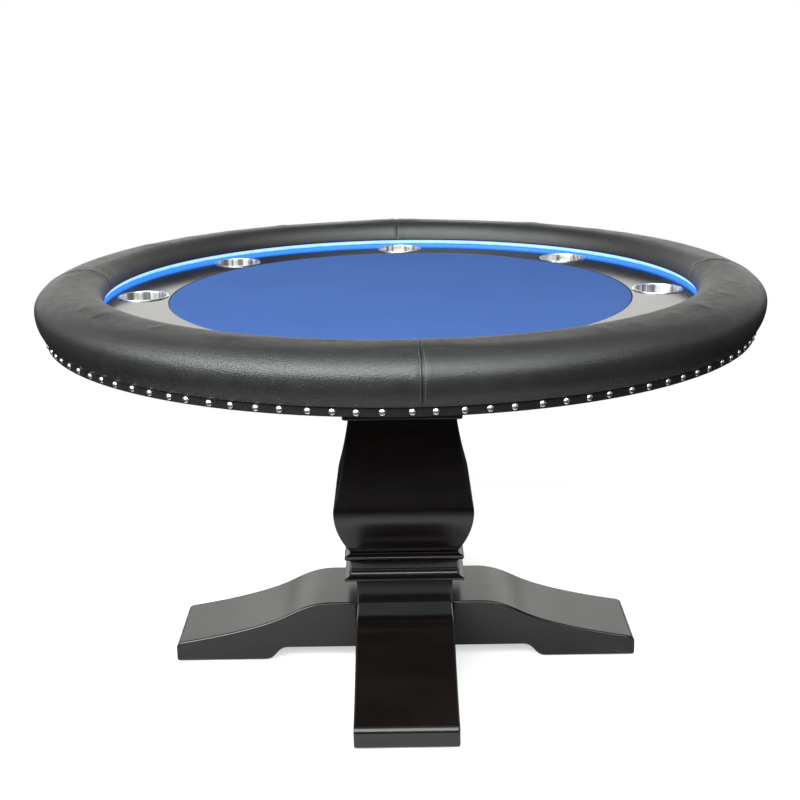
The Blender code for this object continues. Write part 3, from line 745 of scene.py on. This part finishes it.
def add_thread(vertices, faces, section, run, start, angle, out_r, out_z):
    """One stitch: a short rounded thread that dips into the cover at both ends."""
    rings, sides = 6, 6
    across = Vector((-math.sin(angle), math.cos(angle), 0.0))
    first = len(vertices)
    for i in range(rings + 1):
        t = i / rings
        at = start + t * STITCH_LENGTH
        r, z = (np.interp(at, run, section[:, k]) for k in (0, 1))
        nr, nz = np.interp(at, run, out_r), np.interp(at, run, out_z)
        out = Vector((nr * math.cos(angle), nr * math.sin(angle), nz))
        centre = Vector((r * math.cos(angle), r * math.sin(angle), z))
        centre += out * (math.sin(math.pi * t) * 0.75 - 0.55) * MM
        width = STITCH_RADIUS * max(0.25, math.sin(math.pi * t)) ** 0.5
        for j in range(sides):
            turn = math.tau * j / sides
            vertices.append(centre + (across * math.cos(turn) + out * math.sin(turn)) * width)
    for i in range(rings):
        for j in range(sides):
            a, b = first + i * sides + j, first + i * sides + (j + 1) % sides
            faces.append((a, b, b + sides, a + sides))
    faces.append(tuple(first + j for j in range(sides)))
    faces.append(tuple(first + rings * sides + j for j in reversed(range(sides))))


def make_band():
    """The black band under the rail."""
    low, high, radius = node_span("trim_band")
    inner = radius - 2.9 * MM
    outline = [(inner, high), (radius, high), (radius, low), (inner, low)]
    section = round_corners(outline, 0.8 * MM)
    vertices, faces = lathe(section, even_angles(720))
    finish_piece("trim_band_vinyl", vertices, faces, VINYL, TABLE, ["trim_band"])


def make_nails():
    """A row of domed nails, spaced by eye as an upholsterer does."""
    low, high, radius = node_span("trim_band")
    middle = (low + high) / 2
    draw = random.Random(11)
    vertices, faces = [], []
    rings, sides = 7, 20
    for i in range(NAIL_COUNT):
        angle = math.tau * (i + 0.35) / NAIL_COUNT + draw.uniform(-3.6, 3.6) * MM / radius
        height = middle + draw.uniform(-0.5, 0.5) * MM
        out = Vector((math.cos(angle), math.sin(angle), 0.0))
        across = Vector((-math.sin(angle), math.cos(angle), 0.0))
        up = Vector((0.0, 0.0, 1.0))
        seat = out * (radius - 0.25 * MM) + up * height
        first = len(vertices)
        for k in range(rings):
            t = math.pi / 2 * k / rings
            reach, rise = NAIL_RADIUS * math.cos(t), NAIL_HEIGHT * math.sin(t)
            for j in range(sides):
                turn = math.tau * j / sides
                vertices.append(
                    seat + out * rise + (across * math.cos(turn) + up * math.sin(turn)) * reach
                )
        vertices.append(seat + out * NAIL_HEIGHT)
        top = len(vertices) - 1
        for k in range(rings - 1):
            for j in range(sides):
                a, b = first + k * sides + j, first + k * sides + (j + 1) % sides
                faces.append((a, b, b + sides, a + sides))
        last = first + (rings - 1) * sides
        for j in range(sides):
            faces.append((last + j, last + (j + 1) % sides, top))
        faces.append(tuple(first + j for j in reversed(range(sides))))
    finish_piece("dome_nails", vertices, faces, NAIL_STEEL, TABLE, ())


def make_racetrack():
    """The lacquered ring, bored for the eight cups."""
    low, high, radius = node_span("racetrack")
    inner = RACETRACK_INNER
    outline = [(inner, high), (radius, high), (radius, low), (inner, low)]
    section = round_corners(outline, 0.5 * MM)
    vertices, faces = lathe(section, even_angles(480))
    track = finish_piece(
        "racetrack_gloss", vertices, faces, TRACK_LACQUER, TABLE, ["racetrack"]
    )
    for k in range(CUP_COUNT):
        cup_low, cup_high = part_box(f"cup_holder_{k + 1}")
        bore(track, (cup_low + cup_high) / 2, CUP_BORE, low - 0.01, high + 0.01)
    track.data.set_sharp_from_angle(angle=math.radians(40))


def bore(piece, centre, radius, bottom, top):
    """Cuts an upright round hole and keeps only the finished mesh."""
    mesh = bpy.data.meshes.new("bore")
    shape = bmesh.new()
    bmesh.ops.create_cone(
        shape, cap_ends=True, segments=72, radius1=radius, radius2=radius, depth=top - bottom
    )
    shape.to_mesh(mesh)
    shape.free()
    cutter = bpy.data.objects.new("bore", mesh)
    bpy.context.scene.collection.objects.link(cutter)
    cutter.location = (centre.x, centre.y, (top + bottom) / 2)
    modifier = piece.modifiers.new("bore", "BOOLEAN")
    modifier.operation = "DIFFERENCE"
    modifier.object = cutter
    bpy.context.view_layer.update()
    evaluated = piece.evaluated_get(bpy.context.evaluated_depsgraph_get())
    cut_mesh = bpy.data.meshes.new_from_object(evaluated)
    piece.modifiers.clear()
    piece.data = cut_mesh
    bpy.data.objects.remove(cutter, do_unlink=True)


def make_playing_cloth():
    """The cloth disc, stretched over its foam and turned down round the board's edge."""
    low, high, radius = node_span("playing_cloth")
    thick, fold, inner_fold = 1.3 * MM, 2.2 * MM, 1.2 * MM
    outline = [(0.0, high)]
    outline += [(radius * t, high) for t in np.linspace(0.1, 0.9, 9)]
    outline.append((radius - 4 * MM, high))
    outline += arc((radius - fold, high - fold), (fold, fold), 90, 0, 6)
    outline += [(radius, low), (radius - thick, low)]
    centre = (radius - thick - inner_fold, high - thick - inner_fold)
    outline += arc(centre, (inner_fold, inner_fold), 0, 90, 4)
    outline += [(0.0, high - thick)]
    vertices, faces = solid_lathe(outline, even_angles(480))
    cloth = finish_piece(
        "playing_cloth_fine", vertices, faces, CLOTH,
        "playing_panel", ["playing_cloth"],
    )


def make_diffuser():
    """The light strip's frosted cover, under the rail's lip."""
    low, high, radius = node_span("led_diffuser")
    inner = radius - 5.8 * MM
    outline = [(inner, high), (radius, high), (radius, low), (inner, low)]
    section = round_corners(outline, 1.6 * MM, 4)
    vertices, faces = lathe(section, even_angles(720))
    finish_piece(
        "light_diffuser", vertices, faces, GLOW, TABLE, ["led_diffuser"]
    )


def make_cup(number):
    """One drop-in cup: a rolled flange, a straight wall and a dished floor."""
    node = f"cup_holder_{number}"
    low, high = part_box(node)
    centre = (low + high) / 2
    flange = (high.x - low.x) / 2
    wall_in, wall_out = CUP_WALL_IN, CUP_WALL_OUT
    under = high.z - 1.2 * MM
    outline = [(0.0, low.z + 1.0 * MM), (0.030, low.z + 1.0 * MM)]
    outline += arc((wall_in - 4 * MM, low.z + 5.0 * MM), (4 * MM, 4 * MM), 270, 360, 6)
    outline += [(wall_in, low.z + (high.z - low.z) * t) for t in np.linspace(0.15, 0.9, 8)]
    outline += arc((wall_in + 1.4 * MM, high.z - 1.0 * MM), (1.4 * MM, 1.5 * MM), 180, 90, 5)
    outline += arc((flange - 1.2 * MM, high.z - 0.6 * MM), (1.2 * MM, 1.1 * MM), 90, -90, 8)[1:]
    outline += [(flange - 2.6 * MM, under + 0.3 * MM), (wall_out + 0.3 * MM, under)]
    outline += [(wall_out, under - 1.0 * MM), (wall_out, low.z + 4.0 * MM)]
    outline += arc((wall_out - 4 * MM, low.z + 4.0 * MM), (4 * MM, 4 * MM), 0, -90, 6)
    outline += [(0.0, low.z)]
    vertices, faces = solid_lathe(outline, even_angles(96), (centre.x, centre.y))
    finish_piece(
        f"cup_{number}_steel", vertices, faces, CUP_STEEL, f"cup_{number}", [node]
    )


# ---------------------------------------------------------------- pedestal


def square_loft(name, outline, node, corner):
    """A square column from (half-width, height) points, with rounded upright corners."""
    sections = []
    for half, z in outline:
        ring = []
        for sx, sy, start in ((1, 1, 0), (-1, 1, 90), (-1, -1, 180), (1, -1, 270)):
            centre = (sx * (half - corner), sy * (half - corner))
            turned = arc(centre, (corner, corner), start, start + 90, 3)
            c, s = math.cos(math.radians(start)), math.sin(math.radians(start))
            before = (turned[0][0] + s * FLAT_MARGIN, turned[0][1] - c * FLAT_MARGIN)
            after = (turned[-1][0] - c * FLAT_MARGIN, turned[-1][1] - s * FLAT_MARGIN)
            ring += [before] + turned + [after]
        sections.append([(x, y, z) for x, y in ring])
    count = len(sections[0])
    vertices = [v for ring in sections for v in ring]
    faces = loft_faces(len(sections), count)
    piece = finish_piece(name, vertices, faces, WOOD_LACQUER, TABLE, [node])
    piece.data.set_sharp_from_angle(angle=math.radians(35))


def make_column():
    """The square vase column."""
    low, high, belly = node_span("column_shell")
    end = COLUMN_END
    top, bottom, middle = (end, high), (end, low), (belly, COLUMN_BELLY_Z)
    shoulder = bezier(bottom, (0.1225, 0.262), (belly + 1.0 * MM, 0.297), middle, 22)
    neck = bezier(middle, (belly, 0.348), (0.1183, 0.390), top, 26)
    rim = [(end - 1.2 * MM, low), (end, low + 1.0 * MM)]
    outline = rim + shoulder + neck[:-1] + [(end, high - 1.0 * MM), (end - 1.2 * MM, high)]
    square_loft("column_vase", outline, "column_shell", 3.2 * MM)


def make_mouldings():
    """The stepped collar, the cap plate and the hub."""
    low, high, base = node_span("collar_moulding")
    neck = 0.105
    outline = [(base - 1.0 * MM, low), (base, low + 1.0 * MM), (base, low + 4.2 * MM)]
    outline += [(base - 1.0 * MM, low + 5.2 * MM)]
    outline += arc((0.1175, 0.1985), (0.0125, 0.0125), 262, 180, 8)
    outline += [(0.1075, 0.1995), (0.1075, 0.2010), (neck + 0.6 * MM, 0.2022), (neck, 0.2030)]
    outline += arc((0.118, 0.2115), (0.013, 0.0125), 180, 98, 8)
    outline += arc((0.1115, 0.2282), (0.0068, 0.0050), -60, 75, 8)
    outline += [(0.1085, high - 1.0 * MM), (0.1075, high)]
    square_loft("collar_moulding_fine", outline, "collar_moulding", 1.2 * MM)

    for node, edge, steps, corner in (
        ("column_cap", 3.0 * MM, 4, 3.5 * MM),
        ("hub_block", 1.5 * MM, 3, 2.5 * MM),
    ):
        low, high, half = node_span(node)
        outline = arc((half - edge, low + edge), (edge, edge), -90, 0, steps)
        outline += arc((half - edge, high - edge), (edge, edge), 0, 90, steps)
        square_loft(f"{node}_fine", outline, node, corner)


def foot_outline(inner, tip, sole, shoulder, arch_z):
    """One foot from its side: an ogee back, a round nose and a raised arch by the hub."""
    crown = [(inner, shoulder), (0.125, shoulder), (0.150, shoulder)]
    roll = bezier((0.150, shoulder), (0.180, shoulder), (0.205, 0.1165), (0.235, 0.101), 14)
    sweep = bezier((0.235, 0.101), (0.285, 0.0752), (0.375, 0.056), (0.4527, 0.0436), 24)
    front = arc((tip - NOSE_RADIUS, 0.030), (NOSE_RADIUS, NOSE_RADIUS), 75, 0, 10)
    toe = arc((tip - TOE_RADIUS, sole + TOE_RADIUS), (TOE_RADIUS, TOE_RADIUS), 0, -90, 4)
    arch = bezier((0.284, sole), (0.262, sole), (0.262, arch_z), (0.239, arch_z), 14)
    under = [(0.370, sole), (0.284, sole)] + arch + [(inner, arch_z)]
    return crown + roll + sweep + front + toe + under


def make_feet():
    """Four sawn feet with softly rounded arrises."""
    low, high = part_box("foot_right")
    outline = foot_outline(low.x, high.x, low.z, high.z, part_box("hub_block")[0].z)
    width = high.y - low.y
    inset = inset_outline(outline, FOOT_RIM)
    sides = [(-width / 2, 1 + FLAT_MARGIN / FOOT_RIM)]
    for turn in np.linspace(0.0, math.pi / 2, 6):
        sides.append((-width / 2 + FOOT_RIM * (1 - math.cos(turn)), 1 - math.sin(turn)))
    sides.append((-width / 2 + FOOT_RIM + FLAT_MARGIN, 0.0))
    sides += [(-y, share) for y, share in reversed(sides)]
    vertices = []
    for y, share in sides:
        for outer, inner in zip(outline, inset):
            x = outer[0] + (inner[0] - outer[0]) * share
            z = outer[1] + (inner[1] - outer[1]) * share
            vertices.append((x, y, z))
    faces = loft_faces(len(sides), len(outline))
    for side, degrees in (("right", 0), ("back", 90), ("left", 180), ("front", 270)):
        spin = Matrix.Rotation(math.radians(degrees), 3, "Z")
        turned = [spin @ Vector(v) for v in vertices]
        node = f"foot_{side}"
        foot = finish_piece(
            f"{node}_fine", turned, faces, WOOD_LACQUER, TABLE, [node]
        )
        foot.data.set_sharp_from_angle(angle=math.radians(50))


def inset_outline(outline, distance):
    """Each point moved inwards along its corner's bisector."""
    points = [Vector(p) for p in outline]
    count = len(points)
    area = sum(points[i].cross(points[(i + 1) % count]) for i in range(count))
    turn = 1 if area > 0 else -1
    moved = []
    for i, here in enumerate(points):
        before = (here - points[i - 1]).normalized()
        after = (points[(i + 1) % count] - here).normalized()
        normal = Vector((-(before + after).y, (before + after).x)) * turn
        if normal.length < 1e-6:
            normal = Vector((-before.y, before.x)) * turn
        normal.normalize()
        side = Vector((-before.y, before.x)) * turn
        moved.append(here + normal * distance / max(0.5, normal.dot(side)))
    return [tuple(p) for p in moved]


# ---------------------------------------------------------------- stage, light and camera


def make_floor():
    """A pale floor disc that fades out towards its edge, lifted to white for the camera."""
    mesh = bpy.data.meshes.new("floor")
    shape = bmesh.new()
    bmesh.ops.create_circle(shape, cap_ends=True, segments=96, radius=FLOOR_RADIUS)
    shape.to_mesh(mesh)
    shape.free()
    floor = bpy.data.objects.new("floor", mesh)
    bpy.context.scene.collection.objects.link(floor)
    material, nodes, links, shader, place = new_material("floor_paper")
    fibre = noise(nodes, links, place, 300.0, 3.0)
    tint = ramp(nodes, links, fibre, [(0.3, (0.48, 0.48, 0.48)), (0.7, (0.52, 0.52, 0.52))])
    links.new(tint, shader.inputs["Base Color"])
    shader.inputs["Roughness"].default_value = 0.9
    length = nodes.new("ShaderNodeVectorMath")
    length.operation = "LENGTH"
    links.new(place, length.inputs[0])
    fade = spread(
        nodes, links, length.outputs["Value"], 1.0, 0.0, FLOOR_RADIUS * 0.50, FLOOR_RADIUS * 0.98
    )
    links.new(fade, shader.inputs["Alpha"])
    direct = nodes.new("ShaderNodeLightPath").outputs["Is Camera Ray"]
    lift = maths(nodes, links, "MULTIPLY", direct, FLOOR_LIFT)
    shader.inputs["Emission Color"].default_value = (1, 1, 1, 1)
    links.new(lift, shader.inputs["Emission Strength"])
    mesh.materials.append(material)


def make_world():
    """White for the camera; for reflections, a white sweep behind and a dark room in front."""
    world = bpy.data.worlds.new("studio")
    bpy.context.scene.world = world
    world.use_nodes = True
    nodes, links = world.node_tree.nodes, world.node_tree.links
    nodes.clear()
    output = nodes.new("ShaderNodeOutputWorld")
    direction = nodes.new("ShaderNodeTexCoord").outputs["Generated"]
    axes = nodes.new("ShaderNodeSeparateXYZ")
    links.new(direction, axes.inputs["Vector"])
    height = axes.outputs["Z"]
    rise = spread(nodes, links, height, 0.0, 1.0, -0.02, 0.02)
    fall = spread(nodes, links, height, 1.0, 0.25, 0.27, 0.45)
    behind = spread(nodes, links, axes.outputs["Y"], 0.06, 1.0, -0.55, 0.05)
    level = maths(nodes, links, "MULTIPLY", maths(nodes, links, "MULTIPLY", rise, fall), behind)
    level = maths(nodes, links, "MULTIPLY", level, SWEEP_LEVEL)
    level = maths(nodes, links, "ADD", level, ROOM_LEVEL)
    seen = nodes.new("ShaderNodeBackground")
    seen.inputs["Color"].default_value = (1, 1, 1, 1)
    seen.inputs["Strength"].default_value = 1.0
    studio = nodes.new("ShaderNodeBackground")
    studio.inputs["Color"].default_value = (1.0, 1.0, 0.965, 1)
    links.new(level, studio.inputs["Strength"])
    path = nodes.new("ShaderNodeLightPath").outputs
    plain = maths(nodes, links, "MAXIMUM", path["Is Camera Ray"], path["Is Diffuse Ray"])
    mix = nodes.new("ShaderNodeMixShader")
    links.new(plain, mix.inputs["Fac"])
    links.new(studio.outputs[0], mix.inputs[1])
    links.new(seen.outputs[0], mix.inputs[2])
    links.new(mix.outputs[0], output.inputs["Surface"])


def softbox(name, location, target, size, power, colour):
    """A soft rectangular lamp aimed at a point, unseen by the camera."""
    light = bpy.data.lights.new(name, "AREA")
    light.shape = "RECTANGLE"
    light.size, light.size_y = size
    light.energy = power
    light.color = colour
    lamp = bpy.data.objects.new(name, light)
    bpy.context.scene.collection.objects.link(lamp)
    lamp.location = location
    lamp.rotation_euler = (Vector(target) - Vector(location)).to_track_quat("-Z", "Y").to_euler()
    lamp.visible_camera = False


def make_lights():
    softbox("overhead", (-0.2, -1.95, 3.65), (-0.2, -0.67, 0.94), (4.4, 2.1), 245, SOFTBOX_TINT)
    softbox("front", (-0.2, -3.7, 2.78), (-0.2, -2.3, 0.13), (4.4, 1.8), 270, SOFTBOX_TINT)
    softbox("left", (-2.7, -2.3, 2.9), (-0.3, -0.6, 0.75), (2.2, 2.6), 310, SOFTBOX_TINT)
    softbox("backdrop", (0.0, 2.2, 1.08), (0.0, 0.0, 0.9), (4.0, 1.0), 14, WARM_TINT)


def make_camera():
    camera = bpy.data.cameras.new("camera")
    camera.sensor_width = 36.0
    camera.lens = CAMERA_LENS
    rig = bpy.data.objects.new("camera", camera)
    bpy.context.scene.collection.objects.link(rig)
    aim = Matrix.Rotation(math.radians(90 - CAMERA_PITCH_DEG), 4, "X")
    roll = Matrix.Rotation(math.radians(CAMERA_ROLL_DEG), 4, "Z")
    yaw = Matrix.Rotation(math.radians(CAMERA_YAW_DEG), 4, "Z")
    rig.matrix_world = Matrix.Translation(CAMERA_PLACE) @ yaw @ aim @ roll
    bpy.context.scene.camera = rig


def set_view():
    view = bpy.context.scene.view_settings
    view.view_transform = "Standard"
    view.look = "None"


make_camera()
set_view()
dress_nodes()
make_rail()
make_band()
make_nails()
make_racetrack()
make_playing_cloth()
make_diffuser()
for cup_number in range(1, CUP_COUNT + 1):
    make_cup(cup_number)
make_column()
make_mouldings()
make_feet()
make_floor()
make_world()
make_lights()
